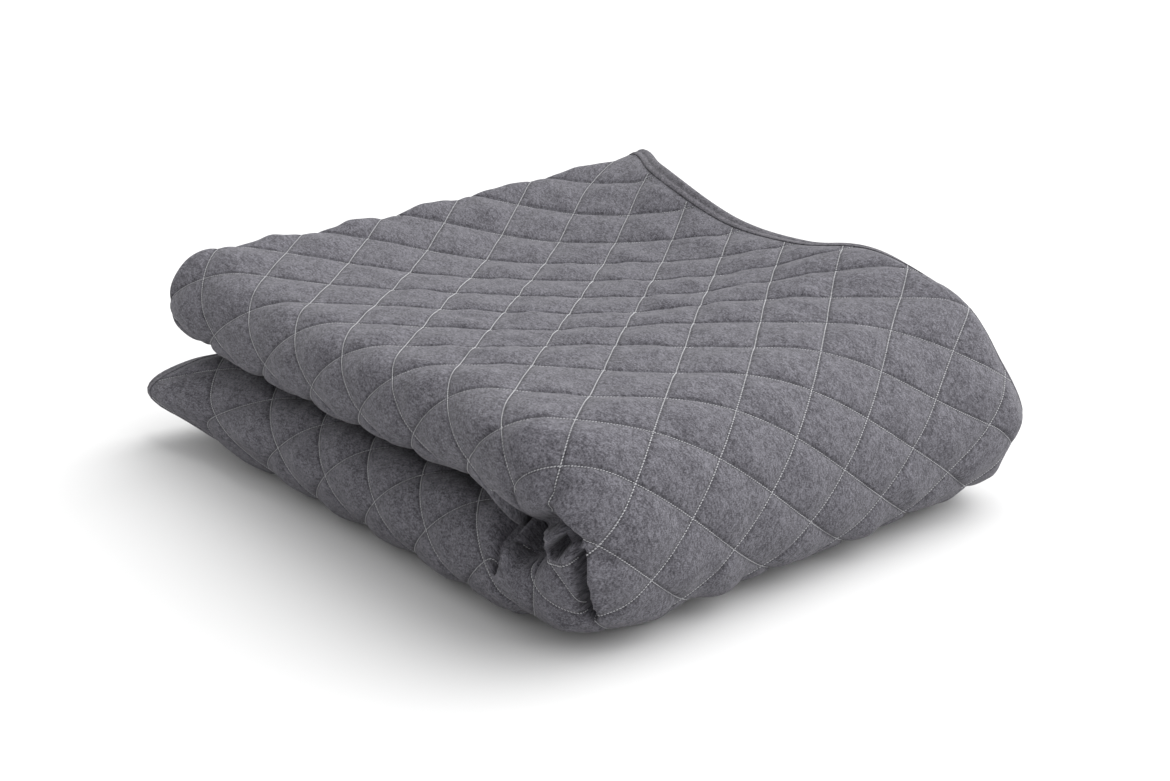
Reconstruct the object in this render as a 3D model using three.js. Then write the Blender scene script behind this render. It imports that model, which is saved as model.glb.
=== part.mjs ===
// A quilted bedspread folded four times into one thick pile, with a narrow binding on its edge.
import * as THREE from "three";

// Sizes in millimetres. X runs along the pile, towards the round end of the last fold.
// Y runs across it, from the round long side to the side where the edges lie. Z is up.
const LAYER_PITCH = 11.9;
const CLOTH_THICKNESS = 9.8;
const EDGE_THICKNESS = 4;
const HALF_GAP = 2.6;
const PILE_WIDTH = 500;
const ROUND_END_CENTRE = 186;
const OPEN_END = -316;

// The cloth takes a little more length round the big folds than their middle lines have.
const ROUND_END_SLACK = 3;
const OUTER_NOSE_SLACK = 4;

// The cloth is pressed flat under the binding and swells to its full thickness beside it.
const BINDING_WIDTH = 14;
const SWELL_WIDTH = 16;
const BINDING_THICKNESS = 1.2;
const BINDING_CLEARANCE = 0.8;

// What the folds come to, worked out from the sizes above.
const ROLL_HEIGHT = 7.5 * LAYER_PITCH + CLOTH_THICKNESS / 2;
const ROUND_END_RADIUS = HALF_GAP + ROLL_HEIGHT;
const PILE_HEIGHT = 2 * ROUND_END_RADIUS;
const NOSE_CENTRE = -PILE_WIDTH / 2 + 4 * LAYER_PITCH;
const INNER_FOLD_CENTRE = PILE_WIDTH / 2 - 2 * LAYER_PITCH;

// The top sags: its height over the edge side, halfway in from it, the middle and the round side.
const TOP_HEIGHTS = [
  { x: -300, edge: 246, shoulder: 222, middle: 208, nose: 197 },
  { x: -200, edge: 236, shoulder: 197, middle: 185, nose: 178 },
  { x: -100, edge: 213, shoulder: 189, middle: 183, nose: 182 },
  { x: 0, edge: 212, shoulder: 191, middle: 184, nose: 183 },
  { x: 100, edge: 214, shoulder: 196, middle: 187, nose: 188 },
  { x: 200, edge: 176, shoulder: 181, middle: 180, nose: 194 },
  { x: 300, edge: 163, shoulder: 162, middle: 179, nose: 199 },
];

// Where those heights are across the pile: -1 is its round side and 1 its edge side.
const HEIGHT_PLACES = { nose: -1, middle: 0, shoulder: 0.5, edge: 1 };

// The top leans: how far its edge side and its round side have slid along and across.
const TOP_SLIDES = [
  { x: -300, edgeAlong: 41, noseAlong: -50, edgeAcross: 23, noseAcross: 14 },
  { x: -200, edgeAlong: 60, noseAlong: -28, edgeAcross: -17, noseAcross: 4 },
  { x: -100, edgeAlong: 54, noseAlong: -6, edgeAcross: -31, noseAcross: -11 },
  { x: 0, edgeAlong: 47, noseAlong: 1, edgeAcross: -37, noseAcross: -22 },
  { x: 100, edgeAlong: 20, noseAlong: -1, edgeAcross: -18, noseAcross: -26 },
  { x: 200, edgeAlong: -8, noseAlong: 7, edgeAcross: 2, noseAcross: -46 },
  { x: 300, edgeAlong: -26, noseAlong: -29, edgeAcross: -8, noseAcross: -14 },
];

// How far the layers stand out at each level, at the open end and on the edge side.
const END_ROWS = [
  { z: 0, endReach: -10, sideReach: 2 },
  { z: 45, endReach: 64, sideReach: -8 },
  { z: 90, endReach: 28, sideReach: 6 },
  { z: 102, endReach: 31, sideReach: 4 },
  { z: 145, endReach: 18, sideReach: -7 },
  { z: 190, endReach: -2, sideReach: 0 },
];
const REACH_FADE = 170;

// The value of a column between the rows, on a smooth curve through all of them.
function between(rows, place, at, column) {
  const last = rows.length - 1;
  const held = Math.min(Math.max(at, rows[0][place]), rows[last][place]);
  let k = 0;
  while (k < last - 1 && held > rows[k + 1][place]) {
    k += 1;
  }
  const slope = (n) => {
    const before = rows[Math.max(n - 1, 0)];
    const after = rows[Math.min(n + 1, last)];
    return (after[column] - before[column]) / (after[place] - before[place]);
  };
  const wide = rows[k + 1][place] - rows[k][place];
  const t = (held - rows[k][place]) / wide;
  const rise = t * t * (3 - 2 * t);
  const ease = t * (1 - t) * wide;
  return (
    rows[k][column] * (1 - rise) +
    rows[k + 1][column] * rise +
    ease * (slope(k) * (1 - t) - slope(k + 1) * t)
  );
}

// 0 below the first number, 1 above the second, and smooth between them.
function smoothly(from, to, at) {
  const t = Math.min(Math.max((at - from) / (to - from), 0), 1);
  return t * t * (3 - 2 * t);
}

// The flat lengths of the runs that each direction of the cloth is folded into.
const FOLD_RADIUS = LAYER_PITCH / 2;
const STRAIGHT_ALONG = ROUND_END_CENTRE - OPEN_END;
const ROUND_END_ARC = Math.PI * (HALF_GAP + 7.5 * LAYER_PITCH) + ROUND_END_SLACK;
const HALF_LENGTH = 2 * STRAIGHT_ALONG + ROUND_END_ARC - LAYER_PITCH;
const FIRST_FOLD_ARC = Math.PI * FOLD_RADIUS;
const OUTER_RUN = PILE_WIDTH / 2 - NOSE_CENTRE;
const INNER_RUN = INNER_FOLD_CENTRE - NOSE_CENTRE;
const OUTER_NOSE_ARC = Math.PI * 3.5 * LAYER_PITCH + OUTER_NOSE_SLACK;
const INNER_FOLD_ARC = Math.PI * 1.5 * LAYER_PITCH;
const INNER_NOSE_ARC = Math.PI * 0.5 * LAYER_PITCH;
const FLAT_LENGTH = 2 * HALF_LENGTH + FIRST_FOLD_ARC;
const FLAT_WIDTH = 2 * OUTER_RUN + 2 * INNER_RUN + OUTER_NOSE_ARC + INNER_FOLD_ARC + INNER_NOSE_ARC;

// First fold, end to end: where a point of the flat length comes to on the doubled cloth.
// "off" is its distance from the middle of the two layers, and "side" is the distance
// from the middle of its own layer.
function doubled(length, side) {
  if (length < HALF_LENGTH) {
    return { run: length, off: FOLD_RADIUS + side };
  }
  if (length < HALF_LENGTH + FIRST_FOLD_ARC) {
    const turn = (length - HALF_LENGTH) / FOLD_RADIUS;
    const radius = FOLD_RADIUS + side;
    return { run: HALF_LENGTH + radius * Math.sin(turn), off: radius * Math.cos(turn) };
  }
  return { run: FLAT_LENGTH - length, off: -FOLD_RADIUS - side };
}

// Second and third folds, across: the doubled cloth goes out to the round side, back under,
// round the inner fold, out again inside the first nose, and back to the edge side.
function quartered(width, off) {
  const p = LAYER_PITCH;
  const stages = [
    [OUTER_RUN, (s) => ({ y: PILE_WIDTH / 2 - s, level: 7 * p + off })],
    [OUTER_NOSE_ARC, (s) => bend(s / OUTER_NOSE_ARC, NOSE_CENTRE, 4 * p, -3 * p - off, 3 * p + off)],
    [INNER_RUN, (s) => ({ y: NOSE_CENTRE + s, level: p - off })],
    [INNER_FOLD_ARC, (s) => bend(s / INNER_FOLD_ARC, INNER_FOLD_CENTRE, 2 * p, p + off, -p - off)],
    [INNER_RUN, (s) => ({ y: INNER_FOLD_CENTRE - s, level: 3 * p + off })],
    [INNER_NOSE_ARC, (s) => bend(s / INNER_NOSE_ARC, NOSE_CENTRE, 4 * p, off - p, off - p)],
    [Infinity, (s) => ({ y: NOSE_CENTRE + s, level: 5 * p - off })],
  ];
  let rest = width;
  for (const [length, place] of stages) {
    if (rest <= length) {
      return place(rest);
    }
    rest -= length;
  }
  throw new Error("a width past the last run");
}

// A half turn about a centre: "reach" is how far it stands out, and "rise" is its first level
// over the centre. Both are less than nothing for a turn the other way.
function bend(share, centre, middle, reach, rise) {
  const turn = Math.PI * share;
  return { y: centre + reach * Math.sin(turn), level: middle + rise * Math.cos(turn) };
}

// Last fold, end to end: the lower roll, the round end and the upper roll. "level" counts
// from the gap between the rolls outwards.
function rolled(run, level) {
  const radius = HALF_GAP + level;
  if (run < STRAIGHT_ALONG) {
    return { x: OPEN_END + run, z: ROUND_END_RADIUS - radius };
  }
  const past = run - STRAIGHT_ALONG;
  if (past < ROUND_END_ARC) {
    const turn = (Math.PI * past) / ROUND_END_ARC;
    return {
      x: ROUND_END_CENTRE + radius * Math.sin(turn),
      z: ROUND_END_RADIUS - radius * Math.cos(turn),
    };
  }
  return { x: ROUND_END_CENTRE - (past - ROUND_END_ARC), z: ROUND_END_RADIUS + radius };
}

// The height of the top at a place, on a cubic through its four listed heights.
function topHeight(x, across) {
  const columns = Object.entries(HEIGHT_PLACES);
  let height = 0;
  for (const [column, place] of columns) {
    let weight = 1;
    for (const [, other] of columns) {
      if (other !== place) {
        weight *= (across - other) / (place - other);
      }
    }
    height += weight * between(TOP_HEIGHTS, "x", x, column);
  }
  return height;
}

// The lean and sag of a pile that was laid down by hand. Nothing moves at floor level.
function settled(x, y, z) {
  const share = Math.max(z, 0) / PILE_HEIGHT;
  const across = Math.min(Math.max((2 * y) / PILE_WIDTH, -1), 1);
  const slid = (column) => between(TOP_SLIDES, "x", x, column);
  const slide = (nose, edge) => (slid(nose) * (1 - across) + slid(edge) * (1 + across)) / 2;
  const openEnd = smoothly(OPEN_END + REACH_FADE, OPEN_END, x);
  const edgeSide = smoothly(PILE_WIDTH / 2 - REACH_FADE, PILE_WIDTH / 2, y);
  return new THREE.Vector3(
    x + slide("noseAlong", "edgeAlong") * share - between(END_ROWS, "z", z, "endReach") * openEnd,
    y + slide("noseAcross", "edgeAcross") * share + between(END_ROWS, "z", z, "sideReach") * edgeSide,
    z + (topHeight(x, across) - PILE_HEIGHT) * share ** 1.5,
  );
}

// A point of the flat cloth, at a distance to one side of its middle, in the folded pile.
function folded(length, width, side) {
  const { run, off } = doubled(length, side);
  const { y, level } = quartered(width, off);
  const { x, z } = rolled(run, level);
  return settled(x, y, z);
}

// The places of grid lines along stretches of [length, number of steps].
function lines(stretches) {
  const places = [0];
  for (const [length, steps] of stretches) {
    const start = places[places.length - 1];
    for (let k = 1; k <= steps; k += 1) {
      places.push(start + (length * k) / steps);
    }
  }
  return places;
}

const HEM_LINES = [[BINDING_WIDTH, 1], [SWELL_WIDTH, 1]];
const HEM = BINDING_WIDTH + SWELL_WIDTH;
const CREASE_REACH = 60;
const HALF_RUNS = [
  ...HEM_LINES,
  [STRAIGHT_ALONG - HEM, 6],
  [ROUND_END_ARC, 9],
  [STRAIGHT_ALONG - LAYER_PITCH - CREASE_REACH, 5],
  [CREASE_REACH, 2],
];
const LENGTH_LINES = lines([...HALF_RUNS, [FIRST_FOLD_ARC, 3], ...HALF_RUNS.slice().reverse()]);
const WIDTH_LINES = lines([
  ...HEM_LINES,
  [OUTER_RUN - HEM, 5],
  [OUTER_NOSE_ARC, 7],
  [INNER_RUN, 4],
  [INNER_FOLD_ARC, 3],
  [INNER_RUN, 4],
  [INNER_NOSE_ARC, 3],
  [OUTER_RUN - HEM, 5],
  ...HEM_LINES.slice().reverse(),
]);

// Half the cloth's thickness at a point: thin inside the binding, full past the swell.
function halfThickness(length, width) {
  const inset = Math.min(length, FLAT_LENGTH - length, width, FLAT_WIDTH - width);
  const swell = Math.min(Math.max((inset - BINDING_WIDTH) / SWELL_WIDTH, 0), 1);
  return (EDGE_THICKNESS + (CLOTH_THICKNESS - EDGE_THICKNESS) * swell) / 2;
}

function solid(name, points, faces, colour) {
  const geometry = new THREE.BufferGeometry();
  const numbers = points.flatMap((point) => point.toArray());
  geometry.setAttribute("position", new THREE.Float32BufferAttribute(numbers, 3));
  geometry.setIndex(faces.flat());
  geometry.computeVertexNormals();
  const material = new THREE.MeshStandardMaterial({ color: colour, roughness: 0.95, metalness: 0 });
  const mesh = new THREE.Mesh(geometry, material);
  mesh.name = name;
  return mesh;
}

// Two faces for each four-cornered cell, wound so that they point to the cell's near side.
function cell(a, b, c, d) {
  return [[a, b, c], [a, c, d]];
}

// The quilted cloth: one sheet with two sides and a rim.
function quiltedCloth() {
  const [rows, columns] = [LENGTH_LINES.length, WIDTH_LINES.length];
  const points = [];
  for (const way of [1, -1]) {
    for (const length of LENGTH_LINES) {
      for (const width of WIDTH_LINES) {
        points.push(folded(length, width, way * halfThickness(length, width)));
      }
    }
  }
  const under = rows * columns;
  const at = (i, j) => i * columns + j;
  const faces = [];
  for (let i = 0; i < rows - 1; i += 1) {
    for (let j = 0; j < columns - 1; j += 1) {
      const [a, b, c, d] = [at(i, j), at(i + 1, j), at(i + 1, j + 1), at(i, j + 1)];
      faces.push(...cell(a, b, c, d));
      faces.push(...cell(under + a, under + d, under + c, under + b));
    }
  }
  const rim = [];
  for (let i = 0; i < rows - 1; i += 1) rim.push(at(i, 0));
  for (let j = 0; j < columns - 1; j += 1) rim.push(at(rows - 1, j));
  for (let i = rows - 1; i > 0; i -= 1) rim.push(at(i, columns - 1));
  for (let j = columns - 1; j > 0; j -= 1) rim.push(at(0, j));
  rim.forEach((a, k) => {
    const b = rim[(k + 1) % rim.length];
    faces.push(...cell(a, under + a, under + b, b));
  });
  return solid("quilted_cloth", points, faces, 0x5f5f66);
}

// The binding: one strip folded over the cloth's edge all the way round, mitred at the corners.
// Its cells are split on the same diagonals as the cloth's, so that the two stay evenly apart.
// Its section is listed as [distance in from the cloth's edge, distance from the cloth's middle].
function edgeBinding() {
  const inner = EDGE_THICKNESS / 2 + BINDING_CLEARANCE;
  const outer = inner + BINDING_THICKNESS;
  const lip = BINDING_WIDTH - 1;
  const section = [
    [lip, outer],
    [-BINDING_CLEARANCE - BINDING_THICKNESS, outer],
    [-BINDING_CLEARANCE - BINDING_THICKNESS, -outer],
    [lip, -outer],
    [lip, -inner],
    [-BINDING_CLEARANCE, -inner],
    [-BINDING_CLEARANCE, inner],
    [lip, inner],
  ];
  const clear = (places, end) => places.filter((p) => p >= BINDING_WIDTH && p <= end - BINDING_WIDTH);
  const lengths = clear(LENGTH_LINES, FLAT_LENGTH);
  const widths = clear(WIDTH_LINES, FLAT_WIDTH);
  const longEdge = (place) => ({ place, isLong: true });
  const shortEdge = (place) => ({ place, isLong: false });
  const stations = [
    longEdge((d) => [d, d]),
    ...lengths.map((p) => longEdge((d) => [p, d])),
    shortEdge((d) => [FLAT_LENGTH - d, d]),
    ...widths.map((p) => shortEdge((d) => [FLAT_LENGTH - d, p])),
    longEdge((d) => [FLAT_LENGTH - d, FLAT_WIDTH - d]),
    ...lengths.map((p) => longEdge((d) => [p, FLAT_WIDTH - d])).reverse(),
    shortEdge((d) => [d, FLAT_WIDTH - d]),
    ...widths.map((p) => shortEdge((d) => [d, p])).reverse(),
  ];
  const points = [];
  for (const { place } of stations) {
    for (const [inset, side] of section) {
      const [length, width] = place(inset);
      points.push(folded(length, width, side));
    }
  }
  const around = section.length;
  const faces = [];
  stations.forEach(({ isLong }, k) => {
    const next = (k + 1) % stations.length;
    for (let m = 0; m < around; m += 1) {
      const n = (m + 1) % around;
      const [a, b, c, d] = [k * around + m, k * around + n, next * around + n, next * around + m];
      const [inwards, upwards] = [section[n][0] - section[m][0], section[n][1] - section[m][1]];
      const turned = inwards === 0 ? upwards > 0 : inwards > 0 !== isLong;
      faces.push(...(turned ? cell(b, c, d, a) : cell(a, b, c, d)));
    }
  });
  return solid("edge_binding", points, faces, 0x56565d);
}

// The pile stands on the floor with its outline centred over the origin.
const pile = new THREE.Group();
pile.add(quiltedCloth(), edgeBinding());
const box = new THREE.Box3().setFromObject(pile, true);
const centre = box.getCenter(new THREE.Vector3());
for (const piece of pile.children) {
  piece.position.set(-centre.x, -centre.y, 0);
}

export default pile;
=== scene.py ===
"""A quilted bedspread, folded four times into a thick soft pile, as a Blender add-on.

The cloth starts as one flat sheet. Each point of it is carried into the pile by the same
folds: end to end, twice across and end to end again. Then the pile sags, leans and creases.
The quilting is a lattice of two families of slanting lines on the flat sheet.
"""

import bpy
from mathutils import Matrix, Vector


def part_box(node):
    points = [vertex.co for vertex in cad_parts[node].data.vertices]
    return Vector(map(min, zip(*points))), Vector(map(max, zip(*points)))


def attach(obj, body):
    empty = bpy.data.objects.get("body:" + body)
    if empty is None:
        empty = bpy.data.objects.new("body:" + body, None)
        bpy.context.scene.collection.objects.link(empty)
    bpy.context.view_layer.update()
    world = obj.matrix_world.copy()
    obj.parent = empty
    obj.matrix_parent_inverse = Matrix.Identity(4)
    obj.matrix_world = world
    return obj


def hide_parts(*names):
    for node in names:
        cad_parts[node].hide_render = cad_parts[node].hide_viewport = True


bl_info = {
    "name": "Folded quilted bedspread",
    "version": (1, 0, 0),
    "blender": (4, 5, 0),
    "location": "3D View > Sidebar > Bedspread",
    "description": "A folded bedspread with diamond quilting, its thread and its bound edge",
    "category": "Add Mesh",
}

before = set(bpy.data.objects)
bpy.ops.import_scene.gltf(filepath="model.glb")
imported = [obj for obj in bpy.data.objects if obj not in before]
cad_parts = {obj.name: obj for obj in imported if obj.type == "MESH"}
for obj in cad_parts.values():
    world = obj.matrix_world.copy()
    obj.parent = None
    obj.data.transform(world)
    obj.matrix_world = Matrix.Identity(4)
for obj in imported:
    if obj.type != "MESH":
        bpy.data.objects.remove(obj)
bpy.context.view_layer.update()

import bpy
import numpy as np
from mathutils import Matrix, Vector

MM = 0.001

# The tables are in millimetres. The top sags: its height over the edge side, halfway in from
# it, the middle and the round side, at each place along the pile.
ALONG = (-300, -200, -100, 0, 100, 200, 300)
TOP_HEIGHTS = {
    "edge": (246, 236, 213, 212, 214, 176, 163),
    "shoulder": (222, 197, 189, 191, 196, 181, 162),
    "middle": (208, 185, 183, 184, 187, 180, 179),
    "nose": (197, 178, 182, 183, 188, 194, 199),
}
HEIGHT_PLACES = {"nose": -1.0, "middle": 0.0, "shoulder": 0.5, "edge": 1.0}

# The top leans: how far its edge side and its round side have slid along and across.
TOP_SLIDES = {
    "edge_along": (41, 60, 54, 47, 20, -8, -26),
    "nose_along": (-50, -28, -6, 1, -1, 7, -29),
    "edge_across": (23, -17, -31, -37, -18, 2, -8),
    "nose_across": (14, 4, -11, -22, -26, -46, -14),
}

# How far the layers stand out at each level, at the open end and on the edge side.
LEVELS = (0, 45, 90, 102, 145, 190)
REACHES = {
    "open_end": (-10, 64, 28, 31, 18, -2),
    "edge_side": (2, -8, 6, 4, -7, 0),
}

# Local bulges and hollows of the pile, in millimetres: where each is centred, how far it is
# felt, and how far the cloth is carried there.
BULGES = {
    "back_corner": ((-204, 272, 242), (60, 60, 90), (14, 13, 3)),
    "far_shoulder": ((-290, 110, 205), (90, 120, 60), (-2, 0, 7)),
    "hem_shoulder": ((190, 262, 195), (200, 70, 70), (4, 8, 8)),
    "hem_end": ((310, 240, 80), (80, 90, 90), (11, 16, 0)),
    "end_shoulder": ((250, 235, 175), (80, 60, 60), (6, 6, 5)),
    "nose_foot": ((170, -240, 20), (90, 70, 45), (0, -9, 0)),
    "end_foot": ((300, 60, 15), (70, 170, 50), (15, 0, 0)),
    "lower_end": ((-330, -240, 48), (55, 60, 45), (-11, -13, 0)),
    "gap_mouth": ((238, -236, 90), (34, 30, 24), (0, 12, -20)),
    "front_foot": ((308, -165, 20), (40, 60, 38), (3, -1, -2)),
    "lower_side": ((-140, -244, 30), (60, 50, 40), (0, 1, 4)),
    "corner_edge": ((-110, 268, 236), (45, 45, 50), (0, 0, 5)),
    "lower_foot": ((-275, -240, 8), (70, 60, 40), (4, 3, 8)),
}

# Creases pressed into the pile, in millimetres: where each starts and ends on its skin, the
# way it is pressed in, and how deep it is, half how wide, and how high its right side stands.
CREASES = {
    "slit": ((308, -255, 93), (302, -238, 38), (-0.45, 0.9, 0.0), (40, 3.6, 4)),
    "overhang": ((294, -266, 122), (304, -261, 105), (0.0, 1.0, -0.1), (22, 4.5, 4)),
    "pit": ((303, -260, 106), (290, -262, 90), (-0.4, 0.9, 0.0), (38, 4, 4)),
    "gap_end": ((284, -265, 113), (250, -254, 95), (-0.4, 0.85, -0.3), (36, 6, 3)),
    "pleat": ((210, -214, 84), (219, -256, 60), (0.0, 0.35, -0.94), (20, 5.5, 13)),
    "soft_fold": ((277, -262, 98), (266, -258, 72), (0.0, 1.0, 0.0), (7, 6, 1)),
    "left_dimple": ((290, -271, 150), (291, -270, 140), (0.0, 1.0, 0.0), (3, 3.5, 0)),
    "right_dimple": ((302, -263, 144), (297, -267, 136), (-0.3, 1.0, 0.0), (5, 3.5, 0)),
    "end_dimple": ((315, -247, 92), (324, -237, 86), (-0.8, 0.6, 0.0), (4, 3, 0)),
}

# How deep a crease is felt, and where the ridge along its right side lies and how wide it is,
# both in half widths of the crease.
CREASE_FADE = 45
RIDGE_PLACE = 2
RIDGE_WIDTH = 1.3

# How much the layers are drawn together at the hems, as shares of their level over the gap:
# each share, and how far along the run from the top's start it is nothing and whole, in
# millimetres. Then over how much of the turn the shoulder's share sets in, and the share that
# the layers are drawn together at the open end.
HEM_DRAW = {
    "all": (0.08, 330, 150),
    "round_end": (0.09, 60, -60),
    "shoulder": (0.15, 150, 20),
}
SHOULDER_ONSET = 120
OPEN_END_DRAW = 0.24

# The hidden skin's puffs, in millimetres: how full they stand and how much further out the
# whole skin lies.
HIDDEN_PUFF = 4.6
HIDDEN_LIFT = 0.6

# The thread, in millimetres: how far it lies over the skin, how far it may be pressed in before
# it is lost in a crease, and how low it may lie before it is lost under the pile.
THREAD_LIFT = 0.3
STITCH_LOST = 9
STITCH_FLOOR = 1.5

# Each family of stitches: its slant off the line, in radians, and its share of their width.
STITCH_FAMILIES = {"steep": (0.34, 1.0), "shallow": (-0.3, 0.72)}

# The cloth's grid: cells to a diamond and the least step between two grid lines, and the steps
# on straight hidden runs, in millimetres.
CELLS = 22
LEAST_STEP = 0.9
LONG_STEP = 70
HIDDEN_STEP = 60

# The jersey's relief and its painted shade: how far a groove, with the shade painted darker along
# it, and its puckers are felt from a line, in millimetres, and the puckers' waves, in radians to a
# diamond.
GROOVE_REACH = 3.2
PUCKER_REACH = 11.0
PUCKER_WAVES = 62.0

# The light: the way it shines from, as a bearing from the pile's length and a height, how soft
# it is, all in degrees, and its strength. The world's strength is that of an even white.
LIGHT = {"bearing": 60, "height": 48, "across": 85, "strength": 4.45}
WORLD_STRENGTH = 0.94

# The floor's half width and its height, in millimetres, and the camera's small shift.
FLOOR_REACH = 9000
FLOOR_HEIGHT = -0.3
VIEW_SHIFT = (0.0023, 0.0011)


def length_property(name, description, millimetres):
    """A bpy length whose default is given in millimetres."""
    return bpy.props.FloatProperty(
        name=name,
        description=description,
        default=millimetres * MM,
        precision=5,
        unit="LENGTH",
    )


def colour_property(name, description, colour):
    """A bpy colour, linear, without alpha."""
    return bpy.props.FloatVectorProperty(
        name=name, description=description, default=colour, subtype="COLOR", min=0, max=1
    )


class FoldSizes(bpy.types.PropertyGroup):
    """The pile that the cloth is folded into."""

    layer_pitch: length_property("Layer pitch", "From one layer's middle to the next", 11.9)
    cloth_thickness: length_property("Cloth thickness", "Thickness at a puff", 9.8)
    edge_thickness: length_property("Edge thickness", "Thickness under the binding", 4)
    half_gap: length_property("Half gap", "Half the gap between the two rolls", 2.6)
    pile_width: length_property("Pile width", "From the nose's far side to the hems", 500)
    round_end_centre: length_property("Round end", "Where the last fold's turn is centred", 186)
    open_end: length_property("Open end", "Where the cloth's end lies", -316)
    round_end_slack: length_property("Round end slack", "Extra cloth round the last fold", 3)
    outer_nose_slack: length_property("Nose slack", "Extra cloth round the outer nose", 4)
    reach_fade: length_property("Reach fade", "How far in the layers' reach is felt", 170)
    hem_press: length_property("Hem press", "How far in from the hems they are pressed", 42)


class QuiltSizes(bpy.types.PropertyGroup):
    """The quilting and its thread."""

    diamond_side: length_property("Diamond side", "Along one side of a diamond", 56.65)
    half_angle: bpy.props.FloatProperty(
        name="Half angle",
        description="Half the diamond's corner, measured from the cloth's length",
        default=np.radians(48.1),
        subtype="ANGLE",
        unit="ROTATION",
    )
    hem_phase: bpy.props.FloatProperty(
        name="Hem phase",
        description="The lattice's count at the hem, in diamonds",
        default=6.523,
    )
    end_phase: bpy.props.FloatProperty(
        name="End phase",
        description="The lattice's count at the first fold, in diamonds",
        default=6.24,
    )
    seam_half: length_property("Seam", "Half the cloth's thickness at a stitched line", 1.0)
    puff_half: length_property("Puff", "Half the cloth's thickness mid diamond", 5.4)
    sink: length_property("Sink", "How far a shallow line sinks where laid flat", 2.2)
    stitch_pitch: length_property("Stitch pitch", "From one stitch to the next", 2.4)
    stitch_width: length_property("Stitch width", "Across one stitch", 1.0)
    binding_width: length_property("Binding width", "In from the cloth's edge", 14)
    swell_width: length_property("Swell width", "From the binding to full thickness", 16)


class Finish(bpy.types.PropertyGroup):
    """Colours of the cloth, the thread and the studio."""

    shade: colour_property("Dark fibre", "The darkest fibres of the jersey", (0.028, 0.026, 0.033))
    light: colour_property("Pale fibre", "The palest fibres of the jersey", (0.150, 0.146, 0.167))
    thread: colour_property("Thread", "The quilting thread", (0.47, 0.47, 0.49))
    binding: colour_property("Binding tint", "Tint of the binding's jersey", (0.92, 0.91, 0.90))
    floor: colour_property("Floor", "The studio floor", (0.62, 0.62, 0.62))


class ViewSizes(bpy.types.PropertyGroup):
    """The camera, as the pile is seen from."""

    yaw: bpy.props.FloatProperty(
        name="Yaw",
        description="The camera looks this far left of the way across the pile",
        default=np.radians(48.01),
        subtype="ANGLE",
        unit="ROTATION",
    )
    pitch: bpy.props.FloatProperty(
        name="Pitch",
        description="The camera looks down by this angle",
        default=np.radians(18.57),
        subtype="ANGLE",
        unit="ROTATION",
    )
    distance: length_property("Distance", "From the camera to the point it looks at", 1454.5)
    aside: length_property("Aside", "Right of the pile's middle that it looks at", -20.7)
    beyond: length_property("Beyond", "Behind the pile's middle that it looks at", -31.1)
    above: length_property("Above", "Over the floor that it looks at", 103.8)
    lens: length_property("Lens", "Focal length on a 36 mm sensor", 50.6)


def between(places, values, at):
    """A column's value at any place: a smooth curve through its rows, each piece a cubic
    whose slopes at the rows are those of the chords between the neighbouring rows."""
    places = np.asarray(places, float)
    values = np.asarray(values, float)
    held = np.clip(at, places[0], places[-1])
    last = len(places) - 2
    k = np.clip(np.searchsorted(places, held, side="right") - 1, 0, last)
    rows = np.arange(len(places))
    before = np.maximum(rows - 1, 0)
    after = np.minimum(rows + 1, last + 1)
    slope = (values[after] - values[before]) / (places[after] - places[before])
    wide = places[k + 1] - places[k]
    t = (held - places[k]) / wide
    rise = t * t * (3 - 2 * t)
    ease = t * (1 - t) * wide
    straight = values[k] * (1 - rise) + values[k + 1] * rise
    return straight + ease * (slope[k] * (1 - t) - slope[k + 1] * t)


def smoothly(start, stop, at):
    """0 before start, 1 after stop and smooth between them."""
    t = np.clip((at - start) / (stop - start), 0, 1)
    return t * t * (3 - 2 * t)


def creased(points):
    """The points pressed in along each crease. The trough is a bell across the line, with a
    lower bell taken off along one side, rounded off past its ends and fading with depth, so
    no layer is crossed."""
    moved = points
    for start, end, way, (depth, wide, lip) in CREASES.values():
        way = np.array(way) / np.linalg.norm(way)
        line = np.array(end, float) - start
        line = line - way * (line @ way)
        reach = np.linalg.norm(line)
        line = line / reach
        aside = np.cross(line, way)
        off = points - start
        along = off @ line
        past = np.maximum(np.maximum(-along, along - reach), 0)
        across = off @ aside
        trough = depth * np.exp(-(across**2 + past**2) / wide**2)
        beside = across - RIDGE_PLACE * wide
        ridge = lip * np.exp(-(beside**2 + past**2) / (RIDGE_WIDTH * wide) ** 2)
        fade = np.exp(-((off @ way / CREASE_FADE) ** 2))
        moved = moved + ((trough - ridge) * fade)[..., None] * way
    return moved


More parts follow.
